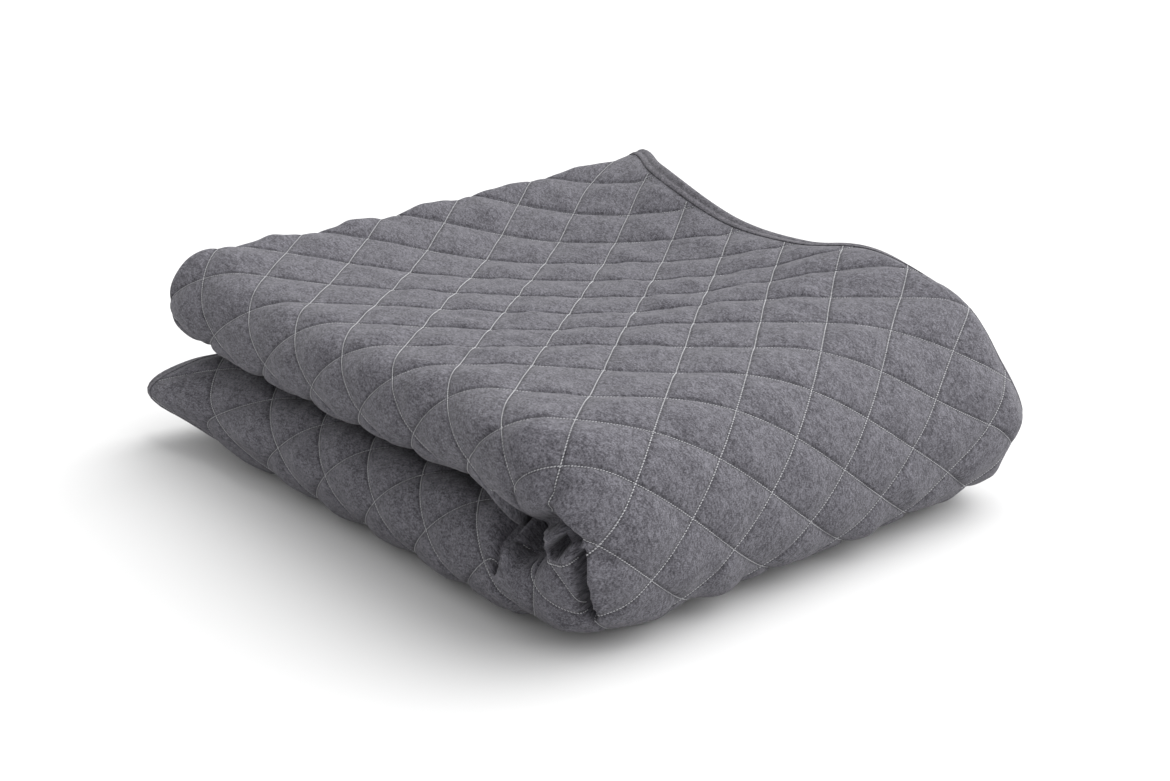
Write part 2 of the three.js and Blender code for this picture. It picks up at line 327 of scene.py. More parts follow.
class Quilt:
    """The lattice on the flat cloth. Steep lines lie where "steep" is whole and shallow ones
    where "shallow" is whole; both count diamonds."""

    def __init__(self, sizes, half_length):
        self.side = sizes.diamond_side / MM
        self.long = 2 * self.side * np.cos(sizes.half_angle)
        self.wide = 2 * self.side * np.sin(sizes.half_angle)
        self.spacing = self.side * np.sin(2 * sizes.half_angle)
        self.half_length = half_length
        self.hem_phase = sizes.hem_phase
        self.end_phase = sizes.end_phase
        self.seam_half = sizes.seam_half / MM
        self.puff_half = sizes.puff_half / MM
        self.sink = sizes.sink / MM
        # The waves of the skin: of 16 to 70 mm, in all directions, the longer the higher.
        rng = np.random.default_rng(11)
        waves = 26
        turn = rng.uniform(0, np.pi, waves)
        reach = rng.uniform(16, 70, waves)
        self.waves = np.stack([np.cos(turn), np.sin(turn)]) * 2 * np.pi / reach
        self.phases = rng.uniform(0, 2 * np.pi, waves)
        self.heights = 0.21 * (reach / 30) ** 0.8

    def crumple(self, length, width):
        """Low waves of the cloth's skin: a sum of sines of many directions and reaches."""
        total = np.zeros(np.broadcast(length, width).shape)
        for across, along, phase, height in zip(*self.waves, self.phases, self.heights):
            total += height * np.sin(across * length + along * width + phase)
        return total

    def counts(self, length, width):
        """Steep and shallow counts: half the sum and half the difference of the diamonds
        counted along the cloth and across it."""
        along = self.end_phase + 2 * (self.half_length - length) / self.long
        across = self.hem_phase - 2 * width / self.wide
        return (along + across) / 2, (along - across) / 2

    def place(self, steep, shallow):
        """Length and width where the two counts are met."""
        along = steep + shallow
        across = steep - shallow
        length = self.half_length - (along - self.end_phase) * self.long / 2
        return length, (self.hem_phase - across) * self.wide / 2

    def fullness(self, length, width, laid_flat):
        """How full the wadding stands, 0 on a line and about 1 mid diamond: the two distances
        to the nearest lines, as sines, each to a power. Where the cloth is laid flat it has
        slid up across the shallow lines, so the steep ones lie less deep."""
        steep, shallow = self.counts(length, width)
        from_steep = np.abs(np.sin(np.pi * steep)) ** 0.6
        from_shallow = np.abs(np.sin(np.pi * shallow)) ** 0.58
        held = 0.12 + 0.28 * laid_flat
        full = from_shallow * (held + (1 - held) * from_steep)
        uneven = np.sin(1.7 * steep + 0.6) * np.sin(2.3 * shallow + 1.1)
        uneven = uneven + 0.7 * np.sin(3.1 * steep - 1.9 * shallow)
        return full * (1 + 0.09 * uneven)


class Folds:
    """Carries points of the flat cloth into the pile. All lengths are in millimetres."""

    def __init__(self, scene):
        sizes = scene.bedspread_folds
        quilt = scene.bedspread_quilt
        self.pitch = sizes.layer_pitch / MM
        self.edge_half = sizes.edge_thickness / MM / 2
        self.binding = quilt.binding_width / MM
        self.swell = quilt.swell_width / MM
        self.stitch_pitch = quilt.stitch_pitch / MM
        self.stitch_width = quilt.stitch_width / MM
        self.gap = sizes.half_gap / MM
        self.width = sizes.pile_width / MM
        self.open_end = sizes.open_end / MM
        self.centre = sizes.round_end_centre / MM
        self.fade = sizes.reach_fade / MM
        self.hem_press = sizes.hem_press / MM
        self.cloth_half = sizes.cloth_thickness / MM / 2
        outermost = self.gap + 7.5 * self.pitch
        self.radius = outermost + self.cloth_half
        self.height = 2 * self.radius
        self.nose_centre = -self.width / 2 + 4 * self.pitch
        self.fold_centre = self.width / 2 - 2 * self.pitch
        self.straight = self.centre - self.open_end
        self.end_arc = np.pi * outermost + sizes.round_end_slack / MM
        self.half_length = 2 * self.straight + self.end_arc - self.pitch
        self.first_arc = np.pi * self.pitch / 2
        self.flat_length = 2 * self.half_length + self.first_arc
        self.outer_run = self.width / 2 - self.nose_centre
        self.inner_run = self.fold_centre - self.nose_centre
        self.nose_arc = np.pi * 3.5 * self.pitch + sizes.outer_nose_slack / MM
        self.fold_arc = np.pi * 1.5 * self.pitch
        self.inner_nose_arc = np.pi * 0.5 * self.pitch
        inwards = [self.outer_run, self.nose_arc, self.inner_run, self.fold_arc]
        outwards = [self.inner_run, self.inner_nose_arc, self.outer_run]
        self.width_ends = np.cumsum(inwards + outwards)
        self.flat_width = self.width_ends[-1]
        self.quilt = Quilt(quilt, self.half_length)
        self.shift = np.zeros(3)
        self.shift = self.centring()

    def centring(self):
        """The move that lays the pile's own box over the box of the quilted_cloth part from
        model.glb, on the floor.
        """
        samples = 400
        length = np.linspace(0, self.flat_length, samples)[:, None]
        width = np.linspace(0, self.flat_width, samples)[None, :]
        points = self.folded(length, width, self.cloth_half).reshape(-1, 3)
        low, high = (np.array(corner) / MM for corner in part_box("quilted_cloth"))
        move = (low + high - points.min(0) - points.max(0)) / 2
        return np.array([move[0], move[1], 0.0])

    def doubled(self, length, side):
        """First fold, end to end. Gives the run along the doubled cloth and the distance off
        its middle: straight, then half a circle of the first fold's radius, then back."""
        radius = self.pitch / 2 + side
        turn = np.clip((length - self.half_length) / (self.pitch / 2), 0, np.pi)
        turning = self.half_length + radius * np.sin(turn)
        run = np.where(length < self.half_length, length, turning)
        back = length > self.half_length + self.first_arc
        return np.where(back, self.flat_length - length, run), radius * np.cos(turn)

    def quartered(self, width, off):
        """Second and third folds, across. Gives the place across and the level over the gap:
        four straight passes joined by half circles, with the radii of the layers in them."""
        p = self.pitch
        ends = self.width_ends
        nose = np.pi * (width - ends[0]) / self.nose_arc
        fold = np.pi * (width - ends[2]) / self.fold_arc
        inner = np.pi * (width - ends[4]) / self.inner_nose_arc
        passes = [width <= end for end in ends[:6]]
        across = np.select(
            passes,
            [
                self.width / 2 - width,
                self.nose_centre - (3 * p + off) * np.sin(nose),
                self.nose_centre + width - ends[1],
                self.fold_centre + (p + off) * np.sin(fold),
                self.fold_centre - width + ends[3],
                self.nose_centre - (p - off) * np.sin(inner),
            ],
            self.nose_centre + width - ends[5],
        )
        level = np.select(
            passes,
            [
                7 * p + off,
                4 * p + (3 * p + off) * np.cos(nose),
                p - off,
                2 * p - (p + off) * np.cos(fold),
                3 * p + off,
                4 * p - (p - off) * np.cos(inner),
            ],
            5 * p - off,
        )
        return across, level

    def rolled(self, run, level):
        """Last fold, end to end: along the lower roll, half a circle round the end, and back
        along the upper roll. The circle's radius is the gap's half and the level."""
        radius = self.gap + level
        turn = np.clip(np.pi * (run - self.straight) / self.end_arc, 0, np.pi)
        past = np.maximum(run - self.straight - self.end_arc, 0)
        round_end = self.centre + radius * np.sin(turn) - past
        along = np.where(run < self.straight, self.open_end + run, round_end)
        return along, self.radius - radius * np.cos(turn)

    def top_height(self, along, across):
        """The height of the sagged top: the cubic through its four listed heights."""
        height = 0
        for column, place in HEIGHT_PLACES.items():
            weight = 1
            for other in HEIGHT_PLACES.values():
                if other != place:
                    weight = weight * (across - other) / (place - other)
            height = height + weight * between(ALONG, TOP_HEIGHTS[column], along)
        return height

    def settled(self, along, across, level):
        """The lean and sag. Slides grow with the height, the sag with its power of one and a
        half, and the reaches fade in towards the open end and the edge side."""
        share = np.maximum(level, 0) / self.height
        c = np.clip(2 * across / self.width, -1, 1)
        slid = {name: between(ALONG, column, along) for name, column in TOP_SLIDES.items()}
        out = slid["nose_along"] * (1 - c) / 2 + slid["edge_along"] * (1 + c) / 2
        over = slid["nose_across"] * (1 - c) / 2 + slid["edge_across"] * (1 + c) / 2
        open_end = smoothly(self.open_end + self.fade, self.open_end, along)
        edge_side = smoothly(self.width / 2 - self.fade, self.width / 2, across)
        x = along + out * share - between(LEVELS, REACHES["open_end"], level) * open_end
        y = across + over * share + between(LEVELS, REACHES["edge_side"], level) * edge_side
        z = level + (self.top_height(along, c) - self.height) * share**1.5
        return np.stack([x, y, z], -1)

    def folded(self, length, width, side):
        """A point of the flat cloth, at a distance to one side of its middle, in the pile,
        whose lowest puffs are flattened on the floor."""
        points = creased(self.laid(length, width, side))
        points[..., 2] = np.maximum(points[..., 2], 0)
        return points

    def laid(self, length, width, side):
        """The same point before the creases are pressed in."""
        length, width, side = np.broadcast_arrays(
            np.asarray(length, float), np.asarray(width, float), np.asarray(side, float)
        )
        run, off = self.doubled(length, side)
        across, level = self.tucked(run, *self.quartered(width, off))
        along, height = self.rolled(run, self.pressed(run, across, level))
        return self.bulged(self.settled(along, across, height) + self.shift)

    def tucked(self, run, across, level):
        """The places across and the levels drawn in to the nose's centre towards the open end
        of the lower roll, where all the layers end in hems."""
        draw = 1 - OPEN_END_DRAW * np.clip(1 - run / self.hem_press, 0, 1.1) ** 2
        middle = 4 * self.pitch
        past = np.minimum(across - self.nose_centre, 0)
        return across + past * (draw - 1), middle + (level - middle) * draw

    def pressed(self, run, across, level):
        """The levels drawn together towards the hems, which are thinner than the puffs: most
        over the shoulder of the round end and not at all at the raised corner."""
        near = np.clip((across - self.width / 2) / self.hem_press + 1, 0, 1.1) ** 2
        past = run - self.straight - self.end_arc
        draws = {
            name: share * smoothly(nothing, whole, past)
            for name, (share, nothing, whole) in HEM_DRAW.items()
        }
        draws["shoulder"] *= smoothly(self.straight, self.straight + SHOULDER_ONSET, run)
        return level * (1 - near * sum(draws.values()))

    def bulged(self, points):
        """The points moved by each local bulge, with a bell's falloff around its place."""
        moved = points
        for place, reach, move in BULGES.values():
            off = (points - place) / reach
            share = np.exp(-(off**2).sum(-1))
            moved = moved + share[..., None] * np.array(move)
        return moved

    def laid_flat(self, length, width):
        """1 on the top of the pile, where the cloth is laid flat, and 0 round its folds."""
        top_start = self.straight + self.end_arc
        on_top = smoothly(top_start - 120, top_start + 60, length)
        on_top = on_top * smoothly(self.half_length + 1, self.half_length, length)
        return on_top * smoothly(self.outer_run + 20, self.outer_run - 120, width)

    def outside(self, length, width):
        """How far the outer skin stands off the cloth's middle: a seam's half thickness on a
        line and a puff's mid diamond, and pressed down to the edge's under the binding. Where
        the cloth is laid flat, the shallow lines sink into the pile."""
        flat = self.laid_flat(length, width)
        full = self.quilt.fullness(length, width, flat)
        low = self.quilt.seam_half - self.quilt.sink * (0.45 + 0.55 * flat)
        puffed = low + (self.quilt.puff_half - low) * full
        puffed = puffed + self.quilt.crumple(length, width) * np.minimum(full, 1)
        return self.edged(length, width, puffed)

    def inside(self, length, width):
        """How far the hidden skin stands off the cloth's middle, on the other side."""
        full = np.minimum(self.quilt.fullness(length, width, 0), 1)
        puffed = self.quilt.seam_half + (HIDDEN_PUFF - self.quilt.seam_half) * full
        return self.edged(length, width, puffed + HIDDEN_LIFT)

    def edged(self, length, width, puffed):
        """A half thickness that goes down to the edge's under the binding."""
        inset = np.minimum(
            np.minimum(length, self.flat_length - length),
            np.minimum(width, self.flat_width - width),
        )
        swell = smoothly(self.binding - 2, self.binding + self.swell, inset)
        return self.edge_half + (puffed - self.edge_half) * swell


def stops(*stretches):
    """Places of grid lines along stretches of (start, stop, step), sorted, none doubled."""
    places = []
    for start, stop, step in stretches:
        count = max(1, round((stop - start) / step))
        places.append(np.linspace(start, stop, count + 1))
    return np.unique(np.round(np.concatenate(places), 4))


def on_lattice(first, spacing, low, high):
    """The places first plus whole spacings that lie between low and high."""
    start = np.ceil((low - first) / spacing)
    stop = np.floor((high - first) / spacing)
    return first + spacing * np.arange(start, stop + 1)


def joined(fixed, loose, clearance=LEAST_STEP):
    """Both lists as one, sorted, without the loose places that lie too near a fixed one."""
    far = np.abs(loose[:, None] - fixed[None, :]).min(1) > clearance
    return np.unique(np.concatenate([fixed, loose[far]]))


def add_mesh(name, points, triangles, uv=None):
    """A smooth mesh object from arrays: points in millimetres, triangles of point numbers, and
    one texture place for each point."""
    mesh = bpy.data.meshes.new(name)
    count = len(triangles)
    mesh.vertices.add(len(points))
    mesh.vertices.foreach_set("co", (points * MM).astype(np.float32).ravel())
    mesh.loops.add(3 * count)
    mesh.loops.foreach_set("vertex_index", triangles.astype(np.int32).ravel())
    mesh.polygons.add(count)
    mesh.polygons.foreach_set("loop_start", np.arange(0, 3 * count, 3, dtype=np.int32))
    mesh.polygons.foreach_set("loop_total", np.full(count, 3, dtype=np.int32))
    mesh.update(calc_edges=True)
    mesh.validate()
    mesh.polygons.foreach_set("use_smooth", np.ones(len(mesh.polygons), dtype=bool))
    if uv is not None:
        layer = mesh.uv_layers.new(name="cloth")
        corners = np.zeros(len(mesh.loops), dtype=np.int32)
        mesh.loops.foreach_get("vertex_index", corners)
        layer.data.foreach_set("uv", (uv[corners] * MM).astype(np.float32).ravel())
    piece = bpy.data.objects.new(name, mesh)
    bpy.context.scene.collection.objects.link(piece)
    return piece


def split_cells(a, b, c, d, turned):
    """Two triangles for each cell a-b-c-d, split from b to d where turned and else from a to
    c. Seen with a-b-c-d counterclockwise, both face the viewer."""
    first = np.where(turned[..., None], np.stack([a, b, d], -1), np.stack([a, b, c], -1))
    second = np.where(turned[..., None], np.stack([b, c, d], -1), np.stack([a, c, d], -1))
    return np.concatenate([first.reshape(-1, 3), second.reshape(-1, 3)])


def lace(near, near_at, far, far_at):
    """Triangles between two rows of points that run the same way at different spacings. Each
    segment of one row is laced to the point of the other row that lies nearest beyond it."""
    near_mid = (near_at[1:] + near_at[:-1]) / 2
    far_mid = (far_at[1:] + far_at[:-1]) / 2
    opposite = np.searchsorted(far_mid, near_mid)
    ahead = np.searchsorted(near_mid, far_mid, side="right")
    first = np.stack([near[:-1], far[opposite], near[1:]], -1)
    second = np.stack([far[:-1], far[1:], near[ahead]], -1)
    return np.concatenate([first, second])


def outer_lines(folds):
    """Lengths and widths of the outer side's grid lines. They lie on the quilting where it
    shows, so that its lines run along the cells' diagonals, and far apart where it doesn't."""
    w = folds.width_ends
    half, length_end = folds.half_length, folds.flat_length
    turn_end = half + folds.first_arc
    past_fold = turn_end + folds.straight - folds.pitch
    hem = folds.binding + folds.swell
    edge = np.array([0, folds.binding, hem])
    hidden = stops(
        (turn_end, turn_end + 60, 7),
        (turn_end + 60, past_fold, LONG_STEP),
        (past_fold, length_end - folds.straight, 18),
        (length_end - folds.straight, length_end - 60, LONG_STEP),
        (length_end - 60, length_end - hem, 7),
    )
    arc = np.linspace(half, turn_end, 11)
    quilt = folds.quilt
    phase = half + quilt.end_phase * quilt.long / 2
    lattice = on_lattice(phase, quilt.long / CELLS, 1, half - 1)
    lengths = joined(np.concatenate([edge, arc, hidden, length_end - edge]), lattice)
    hidden = stops(
        (w[1] + 14, w[2] - 24, LONG_STEP),
        (w[2] - 24, w[3] + 24, 7),
        (w[3] + 24, w[4], LONG_STEP),
        (w[4], w[5], 3.5),
        (w[5], w[6] - 60, LONG_STEP),
        (w[6] - 60, w[6] - hem, 7),
    )
    phase = quilt.hem_phase * quilt.wide / 2
    lattice = on_lattice(phase, quilt.wide / CELLS, 1, w[1] + 10)
    return lengths, joined(np.concatenate([edge, hidden, w[6] - edge]), lattice)


def inner_lines(folds):
    """Lengths and widths of the inner side's grid lines: far apart on straight runs and close
    together round the folds."""
    w = folds.width_ends
    half, length_end = folds.half_length, folds.flat_length
    top_start = folds.straight + folds.end_arc
    hem = folds.binding + folds.swell
    edge = np.array([0, folds.binding, hem])
    rough = [
        (hem, folds.straight, HIDDEN_STEP),
        (folds.straight, top_start, 18),
        (top_start, half - 40, HIDDEN_STEP),
        (half - 40, half, 20),
    ]
    mirrored = [(length_end - stop, length_end - start, step) for start, stop, step in rough]
    arc = (half, half + folds.first_arc, 3)
    lengths = joined(np.concatenate([edge, length_end - edge]), stops(*rough, arc, *mirrored))
    rough = [
        (hem, w[0], HIDDEN_STEP),
        (w[0], w[1], 7),
        (w[1], w[2], HIDDEN_STEP),
        (w[2], w[3], 5),
        (w[3], w[4], HIDDEN_STEP),
        (w[4], w[5], 3.5),
        (w[5], w[6] - hem, HIDDEN_STEP),
    ]
    return lengths, joined(np.concatenate([edge, w[6] - edge]), stops(*rough))


def quilted_cloth(folds):
    """The cloth as one closed sheet: a fine grid on its outer side, a coarse one on its inner
    side and a laced rim between them. Each point stands off the cloth's middle by half its
    thickness."""
    lengths, widths = outer_lines(folds)
    coarse_lengths, coarse_widths = inner_lines(folds)
    outer, outer_ids, outer_uv = sheet_side(folds, lengths, widths, 1)
    inner, inner_ids, inner_uv = sheet_side(folds, coarse_lengths, coarse_widths, -1)
    inner_ids = inner_ids + len(outer)
    triangles = [
        side_triangles(folds, outer_ids, lengths, widths, False),
        side_triangles(folds, inner_ids, coarse_lengths, coarse_widths, True),
        lace(outer_ids[:, 0], lengths, inner_ids[:, 0], coarse_lengths),
        lace(outer_ids[:, -1], lengths, inner_ids[:, -1], coarse_lengths)[:, ::-1],
        lace(outer_ids[0], widths, inner_ids[0], coarse_widths)[:, ::-1],
        lace(outer_ids[-1], widths, inner_ids[-1], coarse_widths),
    ]
    points = np.concatenate([outer, inner])
    uv = np.concatenate([outer_uv, inner_uv])
    return add_mesh("bedspread_cloth", points, np.concatenate(triangles), uv)


def sheet_side(folds, lengths, widths, way):
    """Points of one side of the sheet on a grid of lengths and widths, their numbers and their
    places on the flat cloth."""
    length, width = np.meshgrid(lengths, widths, indexing="ij")
    side = folds.outside(length, width) if way > 0 else -folds.inside(length, width)
    points = folds.folded(length, width, side).reshape(-1, 3)
    ids = np.arange(len(points)).reshape(length.shape)
    return points, ids, np.stack([length.ravel(), width.ravel()], -1)


def side_triangles(folds, ids, lengths, widths, flipped):
    """Triangles of one side's grid. A cell is split along the family of lines that is nearer
    to its middle, so that a groove runs along cell diagonals."""
    length, width = np.meshgrid(
        (lengths[1:] + lengths[:-1]) / 2, (widths[1:] + widths[:-1]) / 2, indexing="ij"
    )
    steep, shallow = folds.quilt.counts(length, width)
    turned = np.abs(steep - np.round(steep)) < np.abs(shallow - np.round(shallow))
    a, b = ids[:-1, :-1], ids[1:, :-1]
    c, d = ids[1:, 1:], ids[:-1, 1:]
    triangles = split_cells(a, b, c, d, turned)
    return triangles[:, ::-1] if flipped else triangles


def edge_rows(inset, steps, total, other, far, backwards):
    """The binding's rows along one edge, in places along the edge and across it: the mitred
    row at its corner first, then one at each step."""
    corner = total - inset if backwards else inset
    steps = steps[::-1] if backwards else steps
    along = np.vstack([corner, np.repeat(steps[:, None], len(inset), 1)])
    across = other - inset if far else inset
    return along, np.broadcast_to(across, along.shape)


def edge_binding(folds):
    """The binding: one closed section, folded over the cloth's edge, carried round the edge
    with mitred corners. The section is a table of (distance in from the edge, distance off
    the cloth's middle), round at the edge and dipped where it is sewn down."""
    inner = folds.edge_half + 0.15
    upper = [
        (13.8, inner + 0.2),
        (13.2, inner + 0.8),
        (11.0, inner + 1.1),
        (8.6, inner + 0.9),
        (7.6, inner + 0.3),
        (6.6, inner + 0.9),
        (4.0, inner + 1.5),
        (1.5, inner + 1.3),
        (-0.6, inner + 0.5),
        (-1.4, 0.7 * inner),
    ]
    under = [(far, -off) for far, off in upper[::-1]]
    facing = [(2.0, -inner), (0.4, -0.8 * inner), (0.4, 0.8 * inner), (2.0, inner)]
    inset, side = np.array(upper + [(-2.0, 0.0)] + under + facing).T
    margin = folds.binding + 1
    half = folds.half_length
    w = folds.width_ends
    arcs = stops((half, half + folds.first_arc, 2))
    long_steps = joined(arcs, stops((margin, folds.flat_length - margin, 8)), 3)
    arcs = stops((w[0], w[1], 6), (w[2], w[3], 5), (w[4], w[5], 3))
    wide_steps = joined(arcs, stops((margin, w[6] - margin, 8)), 3)
    flat = folds.flat_length, folds.flat_width
    rows = []
    for back in (False, True):
        rows.append(edge_rows(inset, long_steps, *flat, back, back))
        rows.append(edge_rows(inset, wide_steps, *flat[::-1], not back, back)[::-1])
    length, width = (np.concatenate(places) for places in zip(*rows))
    points = folds.folded(length, width, np.repeat(side[None, :], len(length), 0))
    ids = np.arange(length.size).reshape(length.shape)
    a, b = ids, np.roll(ids, -1, 1)
    c, d = np.roll(b, -1, 0), np.roll(a, -1, 0)
    triangles = split_cells(a, b, c, d, np.zeros(ids.shape, bool))
    uv = np.stack([length.ravel(), width.ravel()], -1)
    return add_mesh("bedspread_binding", points.reshape(-1, 3), triangles, uv)


def stitch_row(folds, length, width):
    """Centres, directions and outward normals of the stitches along a line that is given as
    dense points of the flat cloth: even steps of its folded length, without the stitches that
    are lost in a crease or under the pile."""
    side = folds.outside(length, width) + THREAD_LIFT
    points = folds.folded(length, width, side)
    steps = np.linalg.norm(np.diff(points, axis=0), axis=1)
    travelled = np.concatenate([[0], np.cumsum(steps)])
    count = int(travelled[-1] / folds.stitch_pitch)
    if count < 2:
        return np.zeros((0, 3, 3))
    at = (np.arange(count) + 0.5) * travelled[-1] / count
    length, width, side = (np.interp(at, travelled, row) for row in (length, width, side))
    centre = folds.folded(length, width, side)
    reach = 0.4 * folds.stitch_pitch
    ahead, behind = (
        np.stack([np.interp(at + move, travelled, column) for column in points.T], -1)
        for move in (reach, -reach)
    )
    normal = folds.folded(length, width, side + 0.5) - centre
    pressed = np.linalg.norm(centre - folds.laid(length, width, side), axis=1)
    shown = (pressed < STITCH_LOST) & (centre[:, 2] > STITCH_FLOOR)
    return np.stack([centre, ahead - behind, normal], 1)[shown]


def stitches(name, rows, size, slant, seed):
    """Many small stitches as one mesh. Each is a spindle with four sides: two points at its
    ends and two rings between them, turned a little off the seam's line."""
    rows = np.concatenate(rows)
    rng = np.random.default_rng(seed)
    centre = rows[:, 0]
    along = rows[:, 1] / np.linalg.norm(rows[:, 1], axis=1, keepdims=True)
    up = rows[:, 2] - along * (rows[:, 2] * along).sum(1, keepdims=True)
    up /= np.linalg.norm(up, axis=1, keepdims=True)
    aside = np.cross(along, up)
    angle = slant + rng.normal(0, 0.06, len(rows))
    turned = along * np.cos(angle)[:, None] + aside * np.sin(angle)[:, None]
    aside = np.cross(turned, up)
    shape = [(-0.5, 0, 0)]
    for end in (-0.3, 0.3):
        shape += [(end, 0.5, 0), (end, 0, 0.5), (end, -0.5, 0), (end, 0, -0.5)]
    shape += [(0.5, 0, 0)]
    shape = np.array(shape) * size
    uneven = 1 + rng.normal(0, 0.05, (len(rows), 1, 1))
    axes = np.stack([turned, aside, up], 1)
    points = centre[:, None] + np.einsum("pk,nkd->npd", shape, axes) * uneven
    faces = []
    for k in range(4):
        m = (k + 1) % 4
        a, b, c, d = 1 + k, 1 + m, 5 + m, 5 + k
        faces += [(0, b, a), (a, b, c), (a, c, d), (d, c, 9)]
    faces = np.array(faces)[None] + 10 * np.arange(len(rows))[:, None, None]
    return add_mesh(name, points.reshape(-1, 3), faces.reshape(-1, 3))


def lattice_rows(folds, family):
    """Rows of stitches along one family of quilting lines, over the side that shows: each line
    is followed in small steps of the other family's count, in the bands of width where it may
    show."""
    rows = []
    quilt = folds.quilt
    w = folds.width_ends
    length, width = np.meshgrid((0, folds.half_length), (0, w[3] + 24), indexing="ij")
    lead, follow = quilt.counts(length, width)
    if family == "shallow":
        lead, follow = follow, lead
    margin = folds.binding + 1
    bands = [(margin, w[1] + 10), (w[2] - 20, w[3] + 20)]
    run = np.arange(follow.min(), follow.max(), 0.01)
    for line in np.arange(np.ceil(lead.min()), int(lead.max()) + 1):
        held = np.full(len(run), line)
        length, width = quilt.place(*((held, run) if family == "steep" else (run, held)))
        shown = (length > margin) & (length < folds.half_length + folds.first_arc)
        for low, high in bands:
            kept = shown & (width > low) & (width < high)
            if kept.sum() > 10:
                rows.append(stitch_row(folds, length[kept], width[kept]))
    return rows


class Value:
    """A number's socket in a shader. Arithmetic on it adds Math nodes."""

    def __init__(self, shader, socket):
        self.shader = shader
        self.socket = socket

    def math(self, operation, *values):
        """A Math node over the values."""
        sockets = dict(enumerate(values))
        return self.shader.node("ShaderNodeMath", {"operation": operation}, sockets)

    def __add__(self, other):
        return self.math("ADD", self, other)

    def __radd__(self, other):
        return self.math("ADD", other, self)

    def __sub__(self, other):
        return self.math("SUBTRACT", self, other)

    def __rsub__(self, other):
        return self.math("SUBTRACT", other, self)

    def __mul__(self, other):
        return self.math("MULTIPLY", self, other)

    def __rmul__(self, other):
        return self.math("MULTIPLY", other, self)

    def fraction_from_whole(self):
        """The distance to the nearest whole number."""
        return self.math("ABSOLUTE", self.math("FRACT", self + 0.5) - 0.5)

    def sine(self):
        """The sine of the number, in radians."""
        return self.math("SINE", self)

    def fading(self, reach):
        """1 at nothing, 0 at reach and beyond, and smooth between."""
        settings = {"interpolation_type": "SMOOTHSTEP"}
        sockets = {"Value": self, "From Max": reach, "To Min": 1.0, "To Max": 0.0}
        return self.shader.node("ShaderNodeMapRange", settings, sockets)


class Shader:
    """A material under construction, with one Principled surface."""

    def __init__(self, name):
        self.material = bpy.data.materials.new(name)
        self.material.use_nodes = True
        self.tree = self.material.node_tree
        self.tree.nodes.clear()
        self.surface = self.tree.nodes.new("ShaderNodeBsdfPrincipled")
        output = self.tree.nodes.new("ShaderNodeOutputMaterial")
        self.tree.links.new(self.surface.outputs[0], output.inputs["Surface"])

    def set(self, node, key, value):
        """Puts a value on a socket or links one to it."""
        if isinstance(value, Value):
            self.tree.links.new(value.socket, node.inputs[key])
        else:
            node.inputs[key].default_value = value

    def node(self, kind, settings, sockets, output=0):
        """Adds a node: its settings first, then its sockets. Gives one of its outputs."""
        new = self.tree.nodes.new(kind)
        for name, value in settings.items():
            setattr(new, name, value)
        for key, value in sockets.items():
            self.set(new, key, value)
        return Value(self, new.outputs[output])

    def finish(self, **sockets):
        """Sets the surface's sockets, named with underscores for spaces."""
        for name, value in sockets.items():
            self.set(self.surface, name.replace("_", " "), value)
        return self.material

    def place(self, scale=(1, 1, 1), turn=0.0):
        """The piece's place on the flat cloth, in metres, turned and scaled."""
        place = self.node("ShaderNodeUVMap", {"uv_map": "cloth"}, {})
        sockets = {"Vector": place, "Rotation": (0, 0, turn), "Scale": scale}
        return self.node("ShaderNodeMapping", {"vector_type": "POINT"}, sockets)

    def noise(self, vector, scale, detail=2.0, roughness=0.5):
        """Noise between 0 and 1, with the scale in waves to a metre."""
        sockets = {"Vector": vector, "Scale": scale, "Detail": detail, "Roughness": roughness}
        return self.node("ShaderNodeTexNoise", {}, sockets)

    def mix(self, factor, first, second, blend="MIX"):
        """Mixes two colours."""
        settings = {"data_type": "RGBA", "blend_type": blend}
        return self.node("ShaderNodeMix", settings, {0: factor, 6: first, 7: second}, output=2)

    def bump(self, height, distance):
        """A Bump node over the height, whose unit is the distance in metres."""
        return self.node("ShaderNodeBump", {}, {"Height": height, "Distance": distance})


def solid_colour(colour):
    """The colour with full alpha, as a colour's socket takes it."""
    return (*colour, 1.0)


def heather(shader):
    """The jersey's melange: pale and dark fibres in short strokes of two directions, and a
    slow drift of tone. Gives the colour's factor and the fibres' height."""
    strokes = shader.noise(shader.place((1.0, 0.55, 1), 0.5), 980, 2.0, 0.7)
    crossed = shader.noise(shader.place((0.55, 1.0, 1), -0.35), 640, 3.0, 0.7)
    blotch = shader.noise(shader.place((0.7, 1.0, 1), 0.9), 230, 2.0, 0.6)
    drift = shader.noise(shader.place(), 60, 2.0)
    fibre = strokes * 0.5 + crossed * 0.5
    factor = (fibre - 0.5) * 3.9 + (blotch - 0.5) * 1.2 + (drift - 0.5) * 0.5 + 0.41
    return factor, fibre


